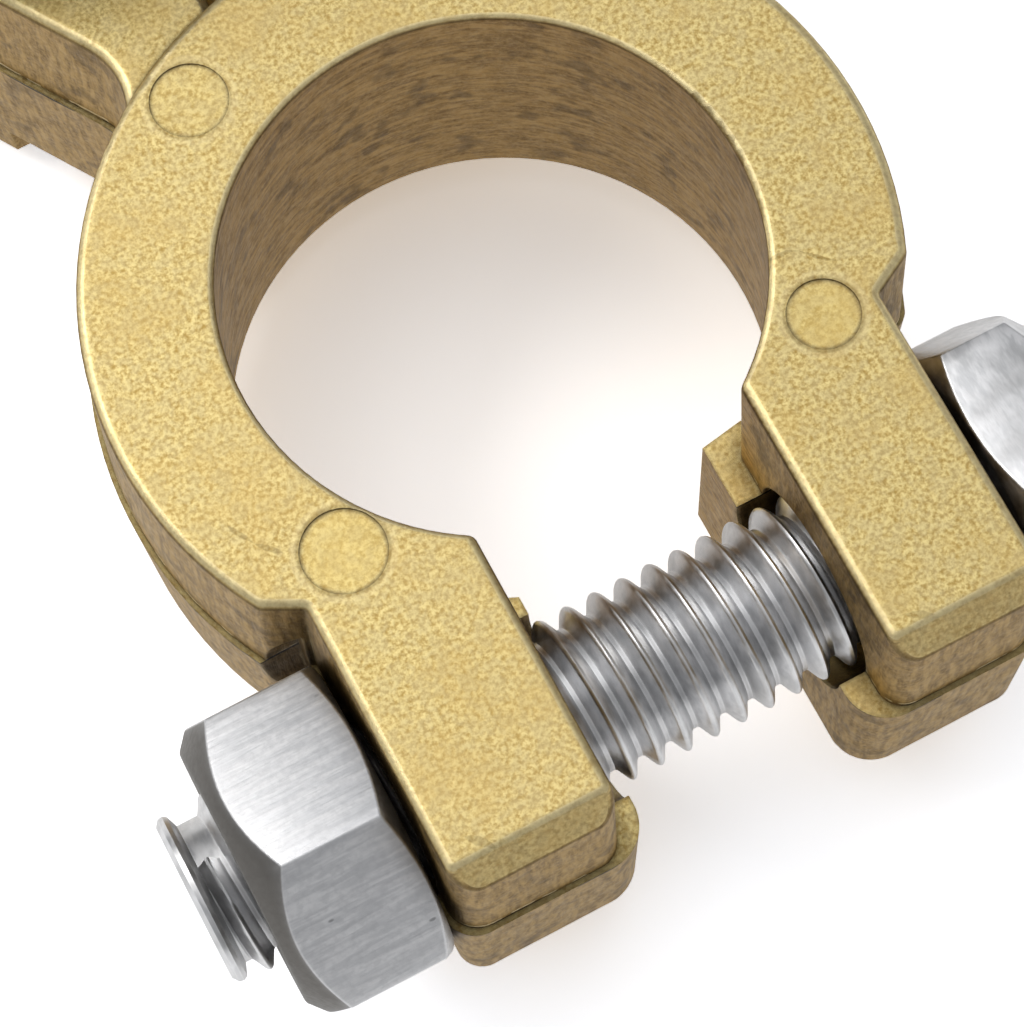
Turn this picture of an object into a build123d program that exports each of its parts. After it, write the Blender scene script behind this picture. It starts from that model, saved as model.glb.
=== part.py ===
from build123d import *
import os
from math import cos, radians, sin, sqrt, tan

# A clamp for the tapered post of a starter battery. The body is one brass casting: a split ring with two
# ears for the pinch bolt in front, and a block with a trough for the cable behind. Sizes are in millimetres.
# The origin is on the post's axis, at the underside of the ring. X runs along the pinch bolt, towards its
# head, Y towards the cable, and Z up.

# Post bore: it widens by 1 mm of radius over each post_taper_run of height, from the top down
post_top_radius = 8.75
post_taper_run = 18.0
body_height = 12.8

# Casting: the parting plane is where both mould halves meet, and each half has draft away from it
parting_height = 7.0
draft_angle = 2.0
mould_step = 0.18
edge_radius = 0.35
underside_edge = 0.9
bore_edge = 0.22

# Ring and ears, as plan sizes of the upper half at the parting plane
ring_radius = 13.35
ear_front = 17.45
ear_corner_radius = 1.1
ears = {
    "left": {"side": -1, "inner": 4.5, "outer": 10.35, "waist": 7.3},
    "right": {"side": 1, "inner": 5.05, "outer": 10.6, "waist": 6.6},
}
waist_rise = 0.8
waist_run = 1.5
waist_corner_radius = 0.6
front_bevel_run = 0.75
front_bevel_drop = 1.05
bevel_radius = 0.3
ledge_width = 0.95
ledge_corner_radius = 1.5
ledge_end = {"x": 5.65, "y": -6.45, "skew": 0.25}
ear_inner_radius = 0.9

# Cable block
block_drop = 0.3
neck_half_width = 7.65
neck_radius = 2.5
neck_y = 11.8
flare_angle = 32.0
block_half_width = 12.6
block_side_length = 5.4
block_corner_radius = 2.0
trough_half_width = 3.7
trough_depth = 7.2
trough_edge = 0.3
trough_start = 12.7
foot_drop = 1.6  # the rear of the block is deeper, and holds the heads of the saddle bolts
foot_front_gap = 3.1  # from the saddle bolts' axes to the step
head_pocket_depth = 1.0
head_pocket_clearance = 0.1

# Shallow round marks that the mould's ejector pins leave on top: place and radius
ejector_marks = [(-8.3, -6.1, 1.4), (8.5, -6.3, 1.2), (-5.8, 9.8, 1.3)]
ejector_depth = 0.06

# Fasteners, with coarse threads: M6 across the ears and M5 at the saddle
pinch_screw = {"radius": 2.97, "pitch": 1.0, "depth": 0.56, "flats": 10.0, "head": 4.0, "nut": 5.0}
saddle_screw = {"radius": 2.47, "pitch": 0.8, "depth": 0.45, "flats": 8.0, "head": 3.5, "nut": 4.0}
crest_share = 0.16  # flat at the crest and at the root, run-out under the head and tip, in pitches
root_share = 0.12
runout_share = 1.5
tip_share = 0.65
face_share = 0.88  # circle of a hexagon's flat face, of its width across flats
hex_chamfer_angle = 40.0
thread_clearance = 0.05
seat_clearance = 0.04
nut_mouth = 0.35
bolt_hole_radius = 3.4
turning_room = 0.25

# Pinch bolt across the ears
pinch_bolt_length = 28.1
pinch_axis_y = -12.4
pinch_nut_turn = 14.0
pinch_head_turn = 8.0

# Cable saddle: a bar over the trough, held by two bolts from below
saddle_bolt_x = 6.95
saddle_bolt_inset = 5.14  # from the block's rear
saddle_bolt_length = 22.0
saddle_head_turn = 30.0
saddle_hole_radius = 2.65
saddle_thickness = 3.0
saddle_width = 8.0
saddle_half_length = 12.0
saddle_corner_radius = 1.5
saddle_rib_depth = 1.2
saddle_rib_clearance = 0.3
spring_washer_radius = 4.6
spring_washer_hole = 2.6
spring_washer_height = 1.2
spring_washer_gap = 0.8
spring_washer_cut = 25.0
saddle_turns = {"left": {"washer": 30.0, "nut": -25.0}, "right": {"washer": 150.0, "nut": 25.0}}

OVER = 1.0  # how far a cutting tool runs past the face that it cuts

upper_height = body_height - parting_height
rim = body_height - block_drop
neck_centre_x = neck_half_width + neck_radius
flare_x = neck_centre_x - neck_radius * cos(radians(flare_angle))
flare_y = neck_y + neck_radius * sin(radians(flare_angle))
block_rear = flare_y + (block_half_width - flare_x) / tan(radians(flare_angle)) + block_side_length
saddle_bolt_y = block_rear - saddle_bolt_inset
foot_front = saddle_bolt_y - foot_front_gap


def prism(sketch, low, high):
    """A straight prism on a plan sketch, between two heights."""
    return extrude(Pos(0, 0, low) * sketch, high - low)


def drafted(sketch, height):
    """A plan sketch at the parting plane, extruded by a height that is negative downwards, with draft."""
    direction = (0, 0, 1 if height > 0 else -1)
    return extrude(Pos(0, 0, parting_height) * sketch, abs(height), dir=direction, taper=draft_angle)


def edges_at(solid, height):
    """The edges of a solid that lie flat at one height."""
    return solid.edges().filter_by(lambda e: abs(e.bounding_box().min.Z - height) < 1e-4
                                   and abs(e.bounding_box().max.Z - height) < 1e-4)


def polygon(*points):
    return make_face(Polyline(*points, close=True))


def ring_and_ears(step):
    """Plan outline of the ring and the ears, without bore and slit, grown by the mould's step."""
    radius = ring_radius + step
    front = -(ear_front + step)
    outline = Circle(radius)
    low, high = -(ears["left"]["outer"] + step), ears["right"]["outer"] + step
    outline += Pos((low + high) / 2, front / 2) * Rectangle(high - low, -front)
    far = 2 * ring_radius
    for ear in ears.values():
        side, foot_x, foot_y = ear["side"], ear["outer"] + step, -ear["waist"]
        slope = waist_rise / waist_run
        outline -= polygon(
            (side * foot_x, foot_y),
            (side * foot_x, front - far),
            (side * far, front - far),
            (side * far, foot_y + slope * (far - foot_x)),
        )
    front_corners = [v for v in outline.vertices() if abs(v.Y - front) < 1e-6]
    outline = fillet(front_corners, ear_corner_radius)
    shoulders = [v for v in outline.vertices()
                 if -ear["waist"] - 3 < v.Y < -3 and abs((v.X ** 2 + v.Y ** 2) ** 0.5 - radius) < 1e-6]
    return fillet(shoulders, waist_corner_radius)


def slit(low, high, inset):
    """The gap between the ears over a range of heights, narrowed by an inset on each side."""
    left, right = -(ears["left"]["inner"] - inset), ears["right"]["inner"] - inset
    depth = ear_front + mould_step + OVER
    rear = post_top_radius / 2
    gap = Pos((left + right) / 2, -(depth + rear) / 2) * Rectangle(right - left, depth - rear)
    return prism(gap, low, high)


def inner_corners(solid):
    """The upright edges where the ears' front meets the walls of the slit."""
    inside = min(ear["outer"] for ear in ears.values()) - ear_corner_radius
    return [e for e in solid.edges()
            if e.center().Y < -ear_front + 2 * ear_corner_radius and abs(e.center().X) < inside
            and e.bounding_box().size.Z > parting_height / 2]


def front_bevel():
    """A long wedge that takes the upper front edge off both ears."""
    top_front = -ear_front + upper_height * tan(radians(draft_angle))
    slope = front_bevel_drop / front_bevel_run
    reach = 2 * OVER
    wedge = polygon(
        (top_front + front_bevel_run + reach, body_height + slope * reach),
        (top_front - reach, body_height + slope * reach),
        (top_front - reach, body_height - front_bevel_drop - slope * reach),
    )
    return extrude(Plane.YZ * wedge, 2 * ring_radius, both=True)


def upper_ring():
    solid = drafted(ring_and_ears(0), upper_height)
    solid -= slit(parting_height - OVER, body_height + OVER, 0)
    solid = fillet(inner_corners(solid), ear_inner_radius)
    solid = fillet(edges_at(solid, body_height), edge_radius) - front_bevel()
    near_front = front_bevel_run - ear_front + 2 * edge_radius
    long_edges = [e for e in solid.edges()
                  if e.geom_type == GeomType.LINE and abs(e.tangent_at(0).X) > 0.9
                  and e.center().Z > body_height - 2 * front_bevel_drop and e.center().Y < near_front]
    return fillet(long_edges, bevel_radius)


def lower_ring():
    solid = drafted(ring_and_ears(mould_step), -parting_height)
    solid -= slit(-OVER, parting_height + OVER, ledge_width)
    solid = fillet(inner_corners(solid), ledge_corner_radius)
    return fillet(edges_at(solid, 0), underside_edge)


def block_plan(step):
    """Plan outline of the cable block and its neck, running on into the ring."""
    radius = neck_radius - step
    flare = radians(flare_angle)
    inside_ring = radians(flare_angle + 10)
    start = (neck_centre_x - radius * cos(inside_ring), neck_y - radius * sin(inside_ring))
    waist = (neck_centre_x - radius, neck_y)
    end = (neck_centre_x - radius * cos(flare), neck_y + radius * sin(flare))
    side_x = block_half_width + step
    side_y = end[1] + (side_x - end[0]) / tan(flare)
    rear = block_rear + step
    right = Curve() + [
        ThreePointArc(start, waist, end),
        Polyline(end, (side_x, side_y), (side_x, rear), (0, rear)),
        Polyline(start, (0, start[1])),
    ]
    left = mirror(right, about=Plane.YZ)
    outline = make_face(right + left)
    rear_corners = [v for v in outline.vertices() if abs(v.Y - rear) < 1e-6 and abs(v.X) > side_x / 2]
    return fillet(rear_corners, block_corner_radius)


def trough(front):
    """The channel for the cable, from one place on Y to behind the block: round below, with a flared mouth."""
    centre_z = rim - trough_depth + trough_half_width
    bottom = Pos(0, centre_z) * Circle(trough_half_width)
    walls = Pos(0, (centre_z + rim + OVER) / 2) * Rectangle(2 * trough_half_width, rim + OVER - centre_z)
    mouth_half = trough_half_width + trough_edge + OVER
    mouth = polygon(
        (-trough_half_width, rim - trough_edge),
        (trough_half_width, rim - trough_edge),
        (mouth_half, rim + OVER),
        (-mouth_half, rim + OVER),
    )
    channel = extrude(Plane.XZ * (bottom + walls + mouth), -(block_rear + mould_step + OVER - front))
    return Pos(0, front, 0) * channel


def head_pocket(x):
    """The hexagonal pocket in the underside that keeps the head of a saddle bolt from turning."""
    width = saddle_screw["flats"] + 2 * head_pocket_clearance
    plan = RegularPolygon(width / sqrt(3), 6, rotation=30 + saddle_head_turn)
    return prism(Pos(x, saddle_bolt_y) * plan, -(foot_drop + OVER), head_pocket_depth)


def foot():
    """The deeper rear part of the block's underside, with the same drafted walls as the block."""
    solid = drafted(block_plan(mould_step), -(parting_height + foot_drop))
    ahead = Pos(0, foot_front - 2 * ring_radius) * Rectangle(4 * ring_radius, 4 * ring_radius)
    solid -= prism(ahead, -(foot_drop + OVER), parting_height + OVER)
    return fillet(edges_at(solid, -foot_drop), edge_radius)


def cable_block():
    upper = drafted(block_plan(0), rim - parting_height)
    lower = drafted(block_plan(mould_step), -parting_height)
    upper = fillet(outer_edges(upper, rim), edge_radius)
    lower = fillet(outer_edges(lower, 0), edge_radius)
    solid = upper + lower + foot() - trough(0)
    for x in (-saddle_bolt_x, saddle_bolt_x):
        solid -= prism(Pos(x, saddle_bolt_y) * Circle(saddle_hole_radius), -(foot_drop + OVER), rim + OVER)
        solid -= head_pocket(x)
    return solid


def outer_edges(solid, height):
    """The rim of a block half at one height, without the line that lies inside the ring."""
    inside = ring_radius - OVER
    return [e for e in edges_at(solid, height) if (e.center().X ** 2 + e.center().Y ** 2) ** 0.5 > inside]


def spot_face(ear):
    """The round seat outside an ear that leaves the corners of the nut or the head room to turn."""
    seat = Plane(origin=(ear["side"] * (ear["outer"] + mould_step), pinch_axis_y, parting_height),
                 z_dir=(ear["side"], 0, 0))
    return extrude(seat * Circle(pinch_screw["flats"] / sqrt(3) + turning_room), ring_radius)


def ledge_stub():
    """The rear end of the right ear's lower half, which runs on a little way into the bore."""
    low_x = ears["right"]["inner"] - ledge_width
    rear_x, rear_y = ledge_end["x"], ledge_end["y"]
    front_y = pinch_axis_y + bolt_hole_radius
    plan = polygon((low_x, front_y), (rear_x + OVER, front_y), (rear_x + OVER, rear_y - OVER),
                   (rear_x, rear_y), (low_x, rear_y - ledge_end["skew"]))
    return prism(plan, 0, parting_height)


def clamp_body():
    solid = upper_ring() + lower_ring() + cable_block()
    reach = body_height + 2 * OVER
    low_radius = post_top_radius + (body_height + OVER) / post_taper_run
    high_radius = post_top_radius - OVER / post_taper_run
    solid -= Pos(0, 0, body_height / 2) * Cone(low_radius, high_radius, reach)
    solid += ledge_stub()
    solid -= trough(trough_start)
    across = Pos(0, pinch_axis_y, parting_height) * Rot(0, 90, 0)
    solid -= across * Cylinder(bolt_hole_radius, 4 * ring_radius)
    for ear in ears.values():
        solid -= spot_face(ear)
    for x, y, radius in ejector_marks:
        solid -= prism(Pos(x, y) * Circle(radius), body_height - ejector_depth, body_height + OVER)
    bore_rim = [e for e in edges_at(solid, body_height)
                if e.geom_type == GeomType.CIRCLE and abs(e.radius - post_top_radius) < 1e-6]
    return fillet(bore_rim, bore_edge)


def hex_blank(screw, height):
    """A hexagonal blank standing on its face, with the corners turned off at both ends."""
    corner_radius = screw["flats"] / sqrt(3)
    blank = extrude(RegularPolygon(corner_radius, 6, rotation=30), height)
    face_radius = face_share * screw["flats"] / 2
    reach = corner_radius + OVER
    rise = (reach - face_radius) * tan(radians(hex_chamfer_angle))
    half = polygon(
        (0, 0),
        (face_radius, 0),
        (reach, rise),
        (reach, height - rise),
        (face_radius, height),
        (0, height),
    )
    return blank & revolve(Plane.XZ * half, Axis.Z)


def bolt_shank(screw, length):
    """The threaded shank, with its thread drawn as rings at the true pitch, and a turned-down tip."""
    radius, pitch = screw["radius"], screw["pitch"]
    root_radius = radius - screw["depth"]
    crest, tip = crest_share * pitch, tip_share * pitch
    flank = (pitch - crest - root_share * pitch) / 2
    turns = int((length - tip - runout_share * pitch) / pitch)
    start = length - tip - turns * pitch
    profile = [(0, 0), (root_radius, 0), (root_radius, start)]
    for turn in range(turns):
        low = start + turn * pitch
        profile += [
            (radius, low + flank),
            (radius, low + flank + crest),
            (root_radius, low + 2 * flank + crest),
            (root_radius, low + pitch),
        ]
    profile += [(radius - tip, length), (0, length)]
    return revolve(Plane.XZ * polygon(*profile), Axis.Z)


def hex_bolt(screw, length):
    """A bolt threaded to its head, which stands below the plane Z = 0, with the shank along Z."""
    return Pos(0, 0, -screw["head"]) * hex_blank(screw, screw["head"]) + bolt_shank(screw, length)


def hex_nut(screw):
    """A nut standing on the plane Z = 0, its bore clear of the bolt's crests and widened at both ends."""
    bore_radius, height = screw["radius"] + thread_clearance, screw["nut"]
    bore = polygon(
        (0, -OVER),
        (bore_radius + nut_mouth + OVER, -OVER),
        (bore_radius, nut_mouth),
        (bore_radius, height - nut_mouth),
        (bore_radius + nut_mouth + OVER, height + OVER),
        (0, height + OVER),
    )
    return hex_blank(screw, height) - revolve(Plane.XZ * bore, Axis.Z)


def spring_washer():
    ring = extrude(Circle(spring_washer_radius) - Circle(spring_washer_hole), spring_washer_height)
    reach = 2 * spring_washer_radius
    cut = Rot(spring_washer_cut, 0, 0) * Box(reach, spring_washer_gap, 3 * spring_washer_height)
    return ring - Pos(spring_washer_radius, 0, spring_washer_height / 2) * cut


def saddle_bar():
    """The bar that presses the cable into its trough, with a hollowed rib below."""
    plate = extrude(RectangleRounded(2 * saddle_half_length, saddle_width, saddle_corner_radius), saddle_thickness)
    rib_half = trough_half_width - saddle_rib_clearance
    rib = Pos(0, 0, -saddle_rib_depth) * extrude(Rectangle(2 * rib_half, saddle_width), saddle_rib_depth + OVER)
    cable_z = trough_half_width - trough_depth
    hollow = Pos(0, 0, cable_z) * Rot(90, 0, 0) * Cylinder(trough_half_width, 2 * saddle_width)
    solid = plate + rib - hollow
    for x in (-saddle_bolt_x, saddle_bolt_x):
        solid -= Pos(x, 0, -OVER) * extrude(Circle(saddle_hole_radius), saddle_thickness + 2 * OVER)
    return Pos(0, saddle_bolt_y, rim) * solid


def pinch_place(x, turn, towards):
    """A place on the pinch bolt's axis whose Z runs along the bolt and whose X starts upright."""
    place = Plane(origin=(x, pinch_axis_y, parting_height), x_dir=(0, 0, 1), z_dir=(towards, 0, 0))
    return place.location * Rot(0, 0, turn)


os.makedirs("parts", exist_ok=True)
face_left = -(ears["left"]["outer"] + mould_step + seat_clearance)
face_right = ears["right"]["outer"] + mould_step + seat_clearance
nodes = {
    "clamp_body": clamp_body(),
    "pinch_bolt": pinch_place(face_right, pinch_head_turn, -1) * hex_bolt(pinch_screw, pinch_bolt_length),
    "pinch_nut": pinch_place(face_left, pinch_nut_turn, -1) * hex_nut(pinch_screw),
    "saddle_bar": saddle_bar(),
}
washer_z = rim + saddle_thickness
nut_z = washer_z + spring_washer_height + seat_clearance
for name, side in (("left", -1), ("right", 1)):
    x, y, turn = side * saddle_bolt_x, saddle_bolt_y, saddle_turns[name]
    head_place = Pos(x, y, head_pocket_depth - seat_clearance) * Rot(0, 0, saddle_head_turn)
    washer_place = Pos(x, y, washer_z) * Rot(0, 0, turn["washer"])
    nut_place = Pos(x, y, nut_z) * Rot(0, 0, turn["nut"])
    nodes[f"saddle_bolt_{name}"] = head_place * hex_bolt(saddle_screw, saddle_bolt_length)
    nodes[f"spring_washer_{name}"] = washer_place * spring_washer()
    nodes[f"saddle_nut_{name}"] = nut_place * hex_nut(saddle_screw)

for name, solid in nodes.items():
    export_step(solid, f"parts/{name}.step")
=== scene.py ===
import math

import bmesh
import bpy
from mathutils import Matrix, Vector


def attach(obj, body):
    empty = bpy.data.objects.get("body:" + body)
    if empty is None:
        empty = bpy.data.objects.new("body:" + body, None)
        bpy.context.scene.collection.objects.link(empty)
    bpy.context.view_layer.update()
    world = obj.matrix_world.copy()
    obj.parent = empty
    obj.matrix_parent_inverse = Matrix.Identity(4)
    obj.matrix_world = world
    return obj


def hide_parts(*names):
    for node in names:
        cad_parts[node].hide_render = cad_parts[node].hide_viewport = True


# Looks for the battery terminal clamp, in metres and in the part's own frame: origin on the post's axis at
# the ring's underside, X along the pinch bolt towards its head, Y towards the cable, Z up.

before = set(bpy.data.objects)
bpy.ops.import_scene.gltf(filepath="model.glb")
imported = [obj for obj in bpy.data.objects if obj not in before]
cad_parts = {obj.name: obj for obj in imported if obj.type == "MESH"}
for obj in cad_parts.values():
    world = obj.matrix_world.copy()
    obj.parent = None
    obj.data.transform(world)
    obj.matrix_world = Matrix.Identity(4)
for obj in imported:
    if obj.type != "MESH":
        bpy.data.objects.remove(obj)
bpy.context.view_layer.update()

MM = 0.001

# Casting
parting_height = 7.0 * MM
ear_face_left = -10.57 * MM
ear_face_right = 10.82 * MM

# Fasteners: M6 across the ears and M5 at the saddle
pinch_screw = {"radius": 2.97 * MM, "pitch": 1.0 * MM, "depth": 0.56 * MM,
               "flats": 10.0 * MM, "head": 4.0 * MM, "nut": 5.0 * MM}
saddle_screw = {"radius": 2.47 * MM, "pitch": 0.8 * MM, "depth": 0.45 * MM,
                "flats": 8.0 * MM, "head": 3.5 * MM, "nut": 4.0 * MM}
open_end = {"share": 0.88, "slope": math.tan(math.radians(40))}
seated_end = {"share": 0.975, "slope": math.tan(math.radians(30))}
nut_clearance = 0.05 * MM
nut_mouth = 0.35 * MM
hexagon_bevel = 0.12 * MM
thread_steps = 72
# Thread section, as (height in thread depths, place in pitches)
thread_ridge = [(-0.08, -0.47), (0.0, -0.42), (0.10, -0.35), (0.84, -0.13), (0.96, -0.065), (1.0, 0.0),
                (0.96, 0.065), (0.84, 0.13), (0.10, 0.35), (0.0, 0.42), (-0.08, 0.47)]
# Rounded end of a bolt, as (height above the root in thread depths, place past the thread in pitches)
bolt_tip = [(0.0, 0.0), (0.72, 0.16), (0.86, 0.30), (0.80, 0.46)]
tip_length = 0.62  # in pitches
pinch_axis_y = -12.4 * MM
pinch_bolt_length = 28.1 * MM
pinch_bolt_threaded = 27.0 * MM
pinch_nut_turn = 14.0
pinch_head_turn = 8.0
saddle_bolt_x = 6.95 * MM
saddle_bolt_y = 20.6985 * MM
saddle_bolt_length = 22.0 * MM
saddle_bolt_threaded = 9.0 * MM
saddle_head_turn = 30.0
saddle_head_seat = 0.96 * MM
saddle_nut_seat = 16.74 * MM
saddle_nut_turn = {"left": -25.0, "right": 25.0}

floor_height = saddle_head_seat - saddle_screw["head"]
floor_gap = 0.02 * MM

# Marks on the casting, in plan: ejector pins as (centre, radius, depth), and scratches as
# (start, end, half width)
bore_wall = (9.6 * MM, 9.9 * MM)
ejector_marks = [
    ((-8.3 * MM, -6.1 * MM), 1.4 * MM, 1.0),
    ((8.5 * MM, -6.3 * MM), 1.2 * MM, 1.0),
    ((-5.8 * MM, 9.8 * MM), 1.3 * MM, 0.4),
]
scratches = [
    ((-9.24 * MM, -15.78 * MM), (-8.40 * MM, -16.58 * MM), 0.16 * MM),
    ((5.82 * MM, -16.00 * MM), (6.70 * MM, -16.46 * MM), 0.14 * MM),
    ((-11.15 * MM, -3.61 * MM), (-10.63 * MM, -4.63 * MM), 0.10 * MM),
    ((-10.68 * MM, -4.55 * MM), (-9.93 * MM, -5.30 * MM), 0.11 * MM),
    ((7.63 * MM, -3.76 * MM), (8.90 * MM, -4.06 * MM), 0.08 * MM),
    ((8.80 * MM, -4.00 * MM), (9.80 * MM, -5.01 * MM), 0.08 * MM),
]

# Pits on the upper flat of the pinch bolt's head
head_pits = [
    (11.57 * MM, -9.01 * MM, 10.8 * MM),
    (11.50 * MM, -9.71 * MM, 10.8 * MM),
    (11.46 * MM, -10.48 * MM, 10.8 * MM),
    (11.52 * MM, -11.25 * MM, 10.8 * MM),
]

# Colours of the pale rim and edge band (wear and painted highlight) and of the painted shade line below the
# rims
worn_and_highlight_brass = (0.98, 0.84, 0.50)
painted_shade_brass = (0.085, 0.050, 0.016)


# ---------------------------------------------------------------- materials

class Shader:
    """A node tree under construction, with short calls for the nodes that the finishes use."""

    def __init__(self, name):
        self.material = bpy.data.materials.new(name)
        self.material.use_nodes = True
        self.tree = self.material.node_tree
        self.tree.nodes.clear()
        self.output = self.tree.nodes.new("ShaderNodeOutputMaterial")
        self.body = self.tree.nodes.new("ShaderNodeBsdfPrincipled")
        self.tree.links.new(self.body.outputs[0], self.output.inputs[0])
        self.coords = self.tree.nodes.new("ShaderNodeTexCoord")
        self.bevels = {}

    def put(self, value, socket):
        if isinstance(value, bpy.types.NodeSocket):
            self.tree.links.new(value, socket)
        elif value is not None:
            wide = hasattr(socket.default_value, "__len__") and len(socket.default_value) == 4
            if wide and len(value) == 3:
                value = (*value, 1.0)
            socket.default_value = value

    def place(self):
        return self.coords.outputs["Object"]

    def stretched(self, scale):
        node = self.tree.nodes.new("ShaderNodeMapping")
        self.put(self.place(), node.inputs["Vector"])
        node.inputs["Scale"].default_value = scale
        return node.outputs[0]

    def parts(self, vector):
        node = self.tree.nodes.new("ShaderNodeSeparateXYZ")
        self.put(vector, node.inputs[0])
        return node.outputs

    def sum(self, operation, a, b=None):
        node = self.tree.nodes.new("ShaderNodeMath")
        node.operation = operation
        self.put(a, node.inputs[0])
        self.put(b, node.inputs[1])
        return node.outputs[0]

    def times(self, a, b):
        return self.sum("MULTIPLY", a, b)

    def less(self, a, b):
        return self.sum("SUBTRACT", a, b)

    def step(self, value, low, high, to_low=0.0, to_high=1.0):
        node = self.tree.nodes.new("ShaderNodeMapRange")
        node.interpolation_type = "SMOOTHSTEP"
        self.put(value, node.inputs["Value"])
        for socket, number in zip(("From Min", "From Max", "To Min", "To Max"), (low, high, to_low, to_high)):
            node.inputs[socket].default_value = number
        return node.outputs[0]

    def noise(self, scale, detail=3.0, vector=None, rough=0.55):
        node = self.tree.nodes.new("ShaderNodeTexNoise")
        self.put(vector or self.place(), node.inputs["Vector"])
        node.inputs["Scale"].default_value = scale
        node.inputs["Detail"].default_value = detail
        node.inputs["Roughness"].default_value = rough
        return node.outputs[0]

    def cells(self, scale, vector=None):
        node = self.tree.nodes.new("ShaderNodeTexVoronoi")
        self.put(vector or self.place(), node.inputs["Vector"])
        node.inputs["Scale"].default_value = scale
        return node.outputs["Distance"]

    def mix(self, factor, a, b):
        node = self.tree.nodes.new("ShaderNodeMix")
        node.data_type = "RGBA"
        self.put(factor, node.inputs["Factor"])
        self.put(a, node.inputs[6])
        self.put(b, node.inputs[7])
        return node.outputs[2]

    def bump(self, height, distance, strength=1.0, normal=None):
        node = self.tree.nodes.new("ShaderNodeBump")
        node.inputs["Distance"].default_value = distance
        node.inputs["Strength"].default_value = strength
        self.put(height, node.inputs["Height"])
        self.put(normal, node.inputs["Normal"])
        return node.outputs[0]

    def rounded(self, radius):
        if radius not in self.bevels:
            node = self.tree.nodes.new("ShaderNodeBevel")
            node.samples = 2
            node.inputs["Radius"].default_value = radius
            self.bevels[radius] = node.outputs[0]
        return self.bevels[radius]

    def edges(self, radius, low=0.004, high=0.06):
        """1 close to an edge, 0 on open faces."""
        geometry = self.tree.nodes.new("ShaderNodeNewGeometry")
        node = self.tree.nodes.new("ShaderNodeVectorMath")
        node.operation = "DOT_PRODUCT"
        self.put(self.rounded(radius), node.inputs[0])
        self.put(geometry.outputs["Normal"], node.inputs[1])
        return self.step(self.less(1.0, node.outputs["Value"]), low, high)

    def crevice(self, distance, low=0.35, high=0.85):
        """1 deep in a corner, 0 on open faces."""
        node = self.tree.nodes.new("ShaderNodeAmbientOcclusion")
        node.samples = 2
        node.inputs["Distance"].default_value = distance
        return self.step(node.outputs["AO"], low, high, 1.0, 0.0)

    def near(self, point, inner, outer):
        """1 around a point, fading to 0 between two distances."""
        node = self.tree.nodes.new("ShaderNodeVectorMath")
        node.operation = "DISTANCE"
        self.put(self.place(), node.inputs[0])
        node.inputs[1].default_value = point
        return self.step(node.outputs["Value"], inner, outer, 1.0, 0.0)

    def from_axis(self, centre):
        """Distance in plan from an upright axis."""
        x, y, _ = self.parts(self.place())
        dx, dy = self.less(x, centre[0]), self.less(y, centre[1])
        return self.sum("SQRT", self.sum("ADD", self.times(dx, dx), self.times(dy, dy)))

    def ring(self, centre, radius, half):
        """1 on a circle seen in plan, fading over half the line's width."""
        off = self.sum("ABSOLUTE", self.less(self.from_axis(centre), radius))
        return self.step(off, 0.4 * half, half, 1.0, 0.0)

    def lens(self, start, end, half, ripple):
        """1 inside a lens-shaped mark seen in plan, from one end to the other, with rippled sides."""
        x, y, _ = self.parts(self.place())
        run = (end[0] - start[0], end[1] - start[1])
        length = math.hypot(*run)
        dx, dy = self.less(x, start[0]), self.less(y, start[1])
        along = self.sum("ADD", self.times(dx, run[0] / length ** 2), self.times(dy, run[1] / length ** 2))
        aside = self.less(self.times(dx, run[1] / length), self.times(dy, run[0] / length))
        aside = self.sum("ADD", aside, ripple)
        width = self.times(self.times(along, self.less(1.0, along)), 4 * half)
        inside = self.less(width, self.sum("ABSOLUTE", aside))
        return self.step(inside, 0.0, 0.35 * half)

    def finish(self, colour, rough, normal):
        self.put(colour, self.body.inputs["Base Color"])
        self.put(rough, self.body.inputs["Roughness"])
        self.put(1.0, self.body.inputs["Metallic"])
        self.put(normal, self.body.inputs["Normal"])
        return self.material


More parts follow.
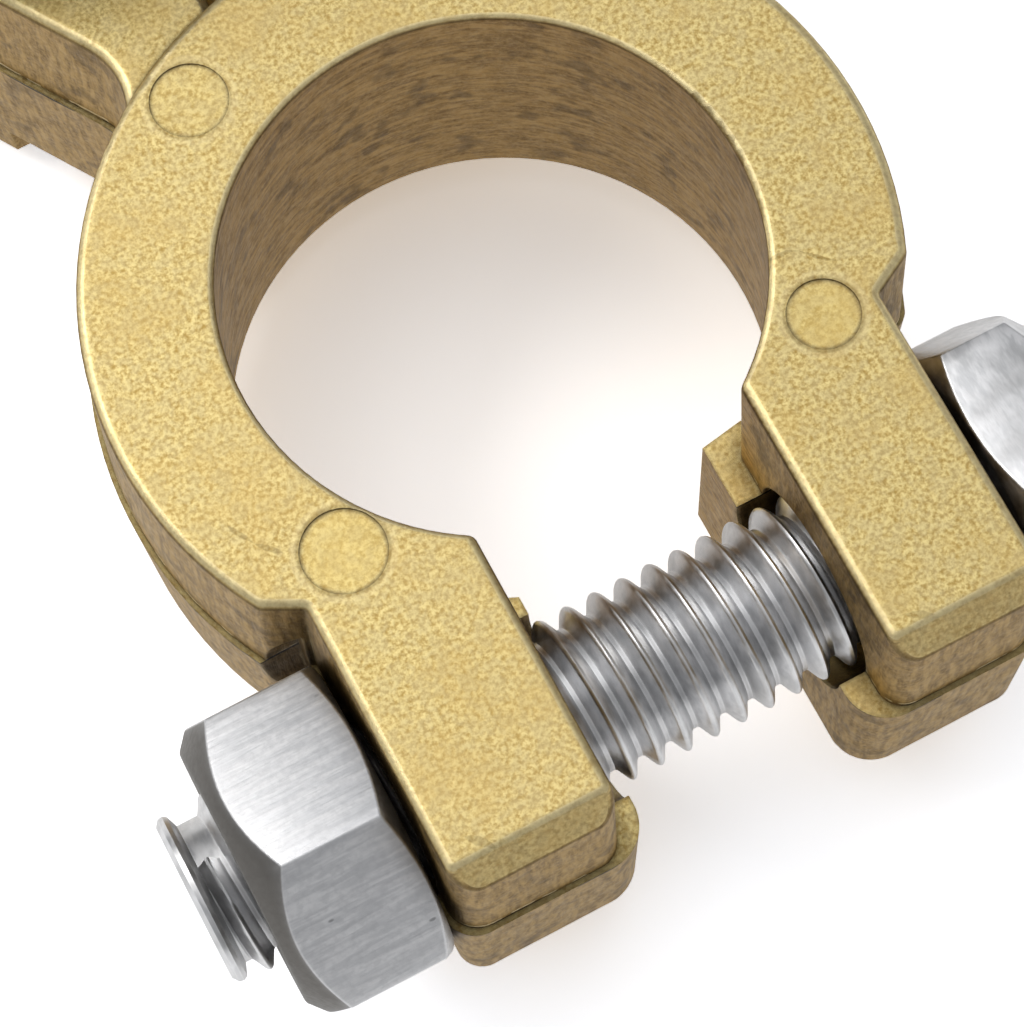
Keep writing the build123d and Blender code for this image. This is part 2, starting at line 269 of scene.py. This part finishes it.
def cast_brass():
    """Tumbled brass: pale gold and speckled on top; the upright walls browner and darker with fine streaks,
    partly their own browner skin and partly painted shade; painted highlights on the rims and edges, and
    painted shade under the rims and in the corners.
    """
    s = Shader("cast_brass")
    times, less = s.times, s.less
    z = s.parts(s.place())[2]
    normal_z = s.parts(s.coords.outputs["Normal"])[2]
    upward = s.step(normal_z, 0.32, 0.80)
    level = s.step(normal_z, 0.9, 0.98)

    speckle = s.noise(6400, 3.0, rough=0.6)
    mottle = s.noise(2300, 2.0, rough=0.65)
    wear = s.noise(1300, 2.0)
    patch = s.noise(700, 2.0)
    top = s.mix(s.step(speckle, 0.30, 0.68), (0.500, 0.335, 0.100), (0.93, 0.760, 0.340))
    top = s.mix(s.step(mottle, 0.40, 0.66, 0.0, 0.32), top, (0.95, 0.83, 0.47))
    top = s.mix(s.step(s.noise(520, 2.0), 0.46, 0.66, 0.0, 0.30), top, (0.72, 0.51, 0.18))
    top = s.mix(s.step(s.noise(120, 1.0), 0.42, 0.66, 0.0, 0.22), top, (0.76, 0.57, 0.25))

    streak = s.noise(2600, 2.0, s.stretched((1.6, 1.6, 0.30)), rough=0.65)
    around = s.noise(2400, 2.0, s.stretched((0.30, 0.30, 1.5)), rough=0.68)
    in_bore = s.step(s.from_axis((0, 0)), *bore_wall, 1.0, 0.0)
    grain = s.mix(in_bore, streak, around)
    side_dark = s.mix(in_bore, (0.230, 0.142, 0.046), (0.270, 0.160, 0.050))
    side_light = s.mix(in_bore, (0.460, 0.305, 0.115), (0.510, 0.325, 0.115))
    side = s.mix(s.step(grain, 0.32, 0.68), side_dark, side_light)
    side = s.mix(s.step(speckle, 0.36, 0.70, 0.0, 0.5), side, (0.58, 0.40, 0.160))
    side = s.mix(s.step(patch, 0.56, 0.68, 0.0, 0.5), side, (0.115, 0.070, 0.024))
    # The upright walls get a darker colour than the tops: partly their browner skin, partly painted shade.
    colour = s.mix(upward, side, top)

    # Rims: a pale band on the rounded edge, a painted highlight broken up by noise, and a dark line of
    # painted shade below it
    rim_highlight = times(s.step(normal_z, 0.52, 0.74), s.step(normal_z, 0.975, 0.999, 1.0, 0.0))
    rim_highlight = times(rim_highlight, s.step(wear, 0.22, 0.50, 0.35, 1.0))
    shade = times(s.step(normal_z, 0.06, 0.20), s.step(normal_z, 0.40, 0.56, 1.0, 0.0))
    colour = s.mix(times(rim_highlight, 0.50), colour, worn_and_highlight_brass)
    colour = s.mix(times(shade, 0.55), colour, painted_shade_brass)

    # Parting line: broken dark dashes with bright torn flecks above them, on the outer walls only
    wander = times(less(s.noise(300, 2.0), 0.5), 0.5 * MM)
    off = less(less(z, parting_height), wander)
    upright = s.step(s.sum("ABSOLUTE", normal_z), 0.35, 0.75, 1.0, 0.0)
    outside = times(upright, less(1.0, in_bore))
    dash_line = s.step(s.sum("ABSOLUTE", off), 0.06 * MM, 0.11 * MM, 1.0, 0.0)
    fleck_line = s.step(s.sum("ABSOLUTE", less(off, 0.16 * MM)), 0.04 * MM, 0.09 * MM, 1.0, 0.0)
    dashes = times(times(dash_line, outside), s.step(patch, 0.45, 0.49))
    flecks = times(times(fleck_line, outside), s.step(wear, 0.50, 0.56))
    colour = s.mix(flecks, colour, (1.0, 0.88, 0.60))
    colour = s.mix(dashes, colour, (0.018, 0.010, 0.004))

    # Ejector marks: a yellower face inside a broken groove with a bright lip
    broken = s.step(patch, 0.36, 0.56)
    groove, lip = 0.0, 0.0
    for centre, radius, depth in ejector_marks:
        face = s.step(s.from_axis(centre), 0.8 * radius, radius, 0.35 * depth, 0.0)
        colour = s.mix(times(face, level), colour, (0.90, 0.69, 0.24))
        line = times(times(s.ring(centre, radius, 0.16 * MM), broken), depth)
        groove = s.sum("MAXIMUM", groove, line)
        lip = s.sum("MAXIMUM", lip, s.ring(centre, radius + 0.19 * MM, 0.14 * MM))
    ripple = times(less(wear, 0.5), 0.3 * MM)
    for start, end, half in scratches:
        groove = s.sum("MAXIMUM", groove, s.lens(start, end, half, ripple))
    groove = times(groove, s.step(normal_z, 0.45, 0.70))
    colour = s.mix(times(times(lip, level), 0.16), colour, (1.0, 0.88, 0.54))
    colour = s.mix(times(groove, 0.32), colour, (0.20, 0.125, 0.038))

    # Pale brass on the edges: partly real wear, partly a painted highlight.
    edge_wear_and_highlight = times(s.edges(0.20 * MM), s.step(wear, 0.25, 0.55, 0.35, 1.0))
    edge_wear_and_highlight = times(edge_wear_and_highlight, s.step(normal_z, -0.2, 0.35, 0.25, 1.0))
    colour = s.mix(times(edge_wear_and_highlight, 0.45), colour, worn_and_highlight_brass)
    # Corners and creases darkened: painted shade.
    colour = s.mix(times(s.crevice(0.8 * MM), 0.85), colour, (0.045, 0.026, 0.010))

    rough = less(s.step(mottle, 0.3, 0.7, 0.44, 0.56), times(rim_highlight, 0.12))
    skin = s.bump(speckle, 0.02 * MM, 0.5, s.rounded(0.20 * MM))
    skin = s.bump(times(less(1.0, upward), streak), 0.06 * MM, 0.6, skin)
    return s.finish(colour, rough, skin)


def zinc_nut():
    """Bright satin zinc: fine brush lines along the flats, small nicks, painted shade on the outer end face,
    a painted highlight on the edges and painted shade in the corners.
    """
    s = Shader("zinc_nut")
    brush = s.noise(5200, 2.0, s.stretched((0.10, 1.0, 1.0)), rough=0.6)
    grit = s.noise(4200, 2.0)
    cloud = s.noise(420, 3.0)
    colour = s.mix(s.step(brush, 0.38, 0.62), (0.74, 0.745, 0.76), (0.86, 0.86, 0.87))
    colour = s.mix(s.step(grit, 0.38, 0.70, 0.0, 0.40), colour, (0.60, 0.605, 0.62))
    colour = s.mix(s.step(cloud, 0.42, 0.72, 0.0, 0.25), colour, (0.62, 0.62, 0.64))
    nicks = s.step(s.cells(1500, s.stretched((0.5, 1.0, 1.0))), 0.06, 0.12, 1.0, 0.0)
    nicks = s.times(nicks, s.step(s.noise(500, 2.0), 0.54, 0.60))
    colour = s.mix(s.times(nicks, 0.6), colour, (0.16, 0.16, 0.165))
    # Painted shade: the pinch nut's outer end face, seen at a grazing angle, is darkened.
    outward = s.step(s.parts(s.coords.outputs["Normal"])[0], -0.75, -0.45, 1.0, 0.0)
    end_face_shade = s.times(outward, s.step(s.parts(s.place())[1], -6 * MM, -4 * MM, 1.0, 0.0))
    colour = s.mix(s.times(end_face_shade, 0.90), colour, (0.115, 0.105, 0.090))
    # Painted highlight on the edges.
    colour = s.mix(s.times(s.edges(0.16 * MM), 0.45), colour, (0.92, 0.92, 0.93))
    # Painted shade in the corners.
    colour = s.mix(s.times(s.crevice(1.2 * MM), 0.8), colour, (0.07, 0.06, 0.05))
    rough = s.step(brush, 0.3, 0.7, 0.42, 0.54)
    return s.finish(colour, rough, s.bump(brush, 0.02 * MM, 0.5))


def zinc_bolt():
    """Zinc for the bolts: a painted highlight along the crests and edges, painted shade in the roots, and a
    row of pits on the head.
    """
    s = Shader("zinc_bolt")
    draw = s.noise(4200, 2.0, s.stretched((1.0, 0.30, 0.30)), rough=0.6)
    cloud = s.noise(520, 3.0)
    colour = s.mix(s.step(draw, 0.36, 0.64), (0.72, 0.725, 0.735), (0.90, 0.90, 0.91))
    colour = s.mix(s.step(cloud, 0.45, 0.70, 0.0, 0.45), colour, (0.40, 0.395, 0.39))
    pits = 0.0
    for place in head_pits:
        pits = s.sum("MAXIMUM", pits, s.near(place, 0.16 * MM, 0.30 * MM))
    colour = s.mix(s.times(pits, 0.75), colour, (0.10, 0.10, 0.105))
    # Painted highlight on the crests and edges.
    colour = s.mix(s.times(s.edges(0.10 * MM, 0.01, 0.10), 0.8), colour, (0.98, 0.98, 0.99))
    # Painted shade in the thread roots and corners.
    colour = s.mix(s.times(s.crevice(0.6 * MM, 0.20, 0.75), 0.60), colour, (0.07, 0.068, 0.065))
    rough = s.step(draw, 0.3, 0.7, 0.30, 0.42)
    return s.finish(colour, rough, s.bump(draw, 0.02 * MM, 0.4))


def plain_floor():
    """White ground that keeps the part's shadow, and shows as the same white ground in the metal."""
    material = bpy.data.materials.new("floor")
    material.use_nodes = True
    tree = material.node_tree
    tree.nodes.clear()
    output = tree.nodes.new("ShaderNodeOutputMaterial")
    path = tree.nodes.new("ShaderNodeLightPath")

    def lit(colour, glow):
        plain = tree.nodes.new("ShaderNodeBsdfDiffuse")
        plain.inputs["Color"].default_value = (*colour, 1.0)
        if not glow:
            return plain.outputs[0]
        white, both = tree.nodes.new("ShaderNodeEmission"), tree.nodes.new("ShaderNodeAddShader")
        white.inputs["Strength"].default_value = glow
        tree.links.new(plain.outputs[0], both.inputs[0])
        tree.links.new(white.outputs[0], both.inputs[1])
        return both.outputs[0]

    def choose(rays, below, above):
        node = tree.nodes.new("ShaderNodeMixShader")
        tree.links.new(path.outputs[rays], node.inputs[0])
        tree.links.new(below, node.inputs[1])
        tree.links.new(above, node.inputs[2])
        return node.outputs[0]

    ground = choose("Is Glossy Ray", lit((0.80, 0.79, 0.775), 0), lit((0.72, 0.72, 0.72), 0.40))
    seen = lit((2.25, 2.30, 2.40), 0.20)
    ground = choose("Is Transmission Ray", choose("Is Camera Ray", ground, seen), seen)
    tree.links.new(ground, output.inputs[0])
    return material


# ---------------------------------------------------------------- pieces

def stand_in(name, shape, place, material, body, node):
    """Turns a finished bmesh into the piece that stands for one CAD node, moved to its place."""
    shape.transform(place)
    bmesh.ops.recalc_face_normals(shape, faces=shape.faces)
    mesh = bpy.data.meshes.new(name)
    shape.to_mesh(mesh)
    shape.free()
    for face in mesh.polygons:
        face.use_smooth = True
    mesh.set_sharp_from_angle(angle=math.radians(32))
    mesh.materials.append(material)
    piece = bpy.data.objects.new(name, mesh)
    bpy.context.scene.collection.objects.link(piece)
    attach(piece, body)
    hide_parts(node)
    return piece


def lathe(shape, profile, steps=96):
    """Spins a profile of (radius, height) once round the Z axis and closes it."""
    points = [shape.verts.new((r, 0, z)) for r, z in profile]
    lines = [shape.edges.new(pair) for pair in zip(points, points[1:])]
    bmesh.ops.spin(shape, geom=points + lines, cent=(0, 0, 0), axis=(0, 0, 1), angle=2 * math.pi,
                   steps=steps, use_merge=True)
    bmesh.ops.remove_doubles(shape, verts=shape.verts, dist=1e-6)


def hexagon(screw, low, high, bore=None, ends=(open_end, open_end)):
    """A hexagonal blank between two heights, its corners turned off to arcs at both ends, with soft edges."""
    shape = bmesh.new()
    half = screw["flats"] / 2
    face_low, face_high = (end["share"] * half for end in ends)
    inner = [(0, low)] if bore is None else [(bore, low + nut_mouth), (bore + nut_mouth, low)]
    outer = [(0, high)] if bore is None else [(bore + nut_mouth, high), (bore, high - nut_mouth)]
    wide = 2 * half
    profile = inner + [(face_low, low), (wide, low - MM), (wide, high + MM), (face_high, high)] + outer
    if bore is not None:
        profile.append(profile[0])
    lathe(shape, profile)
    sixth = math.pi / 6
    for vert in shape.verts:
        if vert.co.xy.length > 1.5 * half:
            off_flat = (math.atan2(vert.co.y, vert.co.x) % (2 * sixth)) - sixth
            reach = half / math.cos(off_flat + (sixth if off_flat < 0 else -sixth))
            below = vert.co.z < (low + high) / 2
            end = ends[0] if below else ends[1]
            drop = max(0.02 * MM, (reach - end["share"] * half) * end["slope"])
            vert.co.xy = vert.co.xy.normalized() * reach
            vert.co.z = low + drop if below else high - drop
    shape.normal_update()
    sharp = [e for e in shape.edges if len(e.link_faces) == 2 and e.calc_length() > 0.05 * MM
             and e.calc_face_angle(0) > math.radians(14)]
    bmesh.ops.bevel(shape, geom=sharp, offset=hexagon_bevel, segments=2, profile=0.5, affect="EDGES",
                    material=-1, clamp_overlap=True)
    return shape


def threaded_bolt(screw, length, threaded):
    """A hexagon bolt: its head below Z = 0, and a right-hand thread along Z that ends at a rounded tip."""
    shape = hexagon(screw, -screw["head"], 0, ends=(open_end, seated_end))
    pitch, depth = screw["pitch"], screw["depth"]
    root = screw["radius"] - depth
    tip = length - tip_length * pitch
    inside_head = -0.5 * MM
    core = bmesh.new()
    lathe(core, [(0, inside_head), (root, inside_head)]
          + [(root + depth * rise, tip + pitch * past) for rise, past in bolt_tip]
          + [(root + 0.42 * depth, length), (0, length)])
    turns = int(threaded / pitch)
    start = tip - 0.30 * pitch - turns * pitch
    turn = bmesh.new()
    points = [turn.verts.new((root + depth * rise, 0, start + pitch * place)) for rise, place in thread_ridge]
    lines = [turn.edges.new(pair) for pair in zip(points, points[1:] + points[:1])]
    bmesh.ops.spin(turn, geom=points + lines, cent=(0, 0, 0), axis=(0, 0, 1),
                   dvec=(0, 0, pitch / thread_steps), angle=2 * math.pi, steps=thread_steps)
    one_turn = bpy.data.meshes.new("turn")
    turn.to_mesh(one_turn)
    turn.free()
    thread = bmesh.new()
    for _ in range(turns):
        thread.from_mesh(one_turn)
        bmesh.ops.translate(thread, verts=thread.verts, vec=(0, 0, pitch))
    bmesh.ops.translate(thread, verts=thread.verts, vec=(0, 0, -pitch))
    bpy.data.meshes.remove(one_turn)
    bmesh.ops.remove_doubles(thread, verts=thread.verts, dist=1e-6)
    bmesh.ops.holes_fill(thread, edges=[e for e in thread.edges if e.is_boundary], sides=20)
    for vert in thread.verts:
        out = vert.co.xy.length - root
        if out > 0:
            fade = min(1.0, max(0.03, (tip + 0.1 * pitch - vert.co.z) / (0.5 * pitch)))
            vert.co.xy = vert.co.xy.normalized() * (root + out * fade)
    for part in (core, thread):
        bmesh.ops.recalc_face_normals(part, faces=part.faces)
        mesh = bpy.data.meshes.new("part")
        part.to_mesh(mesh)
        part.free()
        shape.from_mesh(mesh)
        bpy.data.meshes.remove(mesh)
    return shape


def across(x, turn):
    """A place on the pinch bolt's axis whose Z runs towards the nut and whose X starts upright."""
    turned = Matrix(((0, 0, -1, x), (0, 1, 0, pinch_axis_y), (1, 0, 0, parting_height), (0, 0, 0, 1)))
    return turned @ Matrix.Rotation(math.radians(turn), 4, "Z")


def upright(x, z, turn):
    """A place on a saddle bolt's axis, turned about it."""
    return Matrix.Translation((x, saddle_bolt_y, z)) @ Matrix.Rotation(math.radians(turn), 4, "Z")


brass = cast_brass()
bright = zinc_nut()
dark = zinc_bolt()

pinch_bolt = threaded_bolt(pinch_screw, pinch_bolt_length, pinch_bolt_threaded)
stand_in("pinch_bolt_threaded", pinch_bolt, across(ear_face_right, pinch_head_turn), dark,
         "pinch_screw", "pinch_bolt")
pinch_nut = hexagon(pinch_screw, 0, pinch_screw["nut"], pinch_screw["radius"] + nut_clearance,
                    (seated_end, open_end))
stand_in("pinch_nut_chamfered", pinch_nut, across(ear_face_left, pinch_nut_turn), bright,
         "pinch_fastener", "pinch_nut")
for side, sign in (("left", -1), ("right", 1)):
    x = sign * saddle_bolt_x
    bolt = threaded_bolt(saddle_screw, saddle_bolt_length, saddle_bolt_threaded)
    stand_in(f"saddle_bolt_{side}_threaded", bolt, upright(x, saddle_head_seat, saddle_head_turn), dark,
             "clamp", f"saddle_bolt_{side}")
    nut = hexagon(saddle_screw, 0, saddle_screw["nut"], saddle_screw["radius"] + nut_clearance)
    stand_in(f"saddle_nut_{side}_chamfered", nut, upright(x, saddle_nut_seat, saddle_nut_turn[side]), bright,
             f"{side}_fastener", f"saddle_nut_{side}")

finishes = {
    "clamp_body": brass,
    "saddle_bar": bright,
    "spring_washer_left": dark,
    "spring_washer_right": dark,
}
for node, material in finishes.items():
    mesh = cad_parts[node].data
    mesh.materials.clear()
    mesh.materials.append(material)


# ---------------------------------------------------------------- ground, light and camera

ground = bmesh.new()
bmesh.ops.create_grid(ground, x_segments=2, y_segments=2, size=1.2)
ground.transform(Matrix.Translation((0, 0, floor_height - floor_gap)))
ground_mesh = bpy.data.meshes.new("ground")
ground.to_mesh(ground_mesh)
ground.free()
ground_mesh.materials.append(plain_floor())
floor = bpy.data.objects.new("ground", ground_mesh)
bpy.context.scene.collection.objects.link(floor)


def softbox(name, place, aim, width, power, colour=(1, 1, 1)):
    lamp = bpy.data.lights.new(name, "AREA")
    lamp.shape = "SQUARE"
    lamp.size = width
    lamp.energy = power
    lamp.color = colour
    holder = bpy.data.objects.new(name, lamp)
    bpy.context.scene.collection.objects.link(holder)
    holder.location = place
    holder.rotation_euler = (Vector(aim) - Vector(place)).to_track_quat("-Z", "Y").to_euler()


softbox("key", (-0.16, 0.16, 0.26), (0, 0, 0.005), 0.18, 0.37, (1.0, 0.985, 0.96))
softbox("top", (0.03, 0.10, 0.42), (0, 0, 0.005), 0.30, 0.26)


def studio():
    """A pale room: brightest overhead, and darker towards the horizon."""
    world = bpy.data.worlds.new("studio")
    world.use_nodes = True
    tree = world.node_tree
    where = tree.nodes.new("ShaderNodeTexCoord")
    split = tree.nodes.new("ShaderNodeSeparateXYZ")
    rise = tree.nodes.new("ShaderNodeMapRange")
    rise.interpolation_type = "SMOOTHSTEP"
    for socket, number in zip(("From Min", "From Max", "To Min", "To Max"), (0.02, 0.55, 0.22, 0.41)):
        rise.inputs[socket].default_value = number
    tree.links.new(where.outputs["Generated"], split.inputs[0])
    tree.links.new(split.outputs[2], rise.inputs["Value"])
    tree.links.new(rise.outputs[0], tree.nodes["Background"].inputs[1])
    tree.nodes["Background"].inputs[0].default_value = (0.95, 0.96, 0.98, 1)
    return world


bpy.context.scene.world = studio()

lens = bpy.data.cameras.new("camera")
lens.sensor_fit = "VERTICAL"
lens.sensor_height = 36.0
lens.lens = 126.19
lens.clip_start = 0.001
lens.clip_end = 10.0
camera = bpy.data.objects.new("camera", lens)
bpy.context.scene.collection.objects.link(camera)
camera.matrix_world = Matrix((
    (0.884325, 0.45078, -0.12152, -0.016665),
    (-0.466053, 0.836927, -0.286964, -0.039346),
    (-0.027655, 0.310404, 0.950202, 0.118302),
    (0, 0, 0, 1),
))
bpy.context.scene.camera = camera
bpy.context.scene.view_settings.view_transform = "Standard"
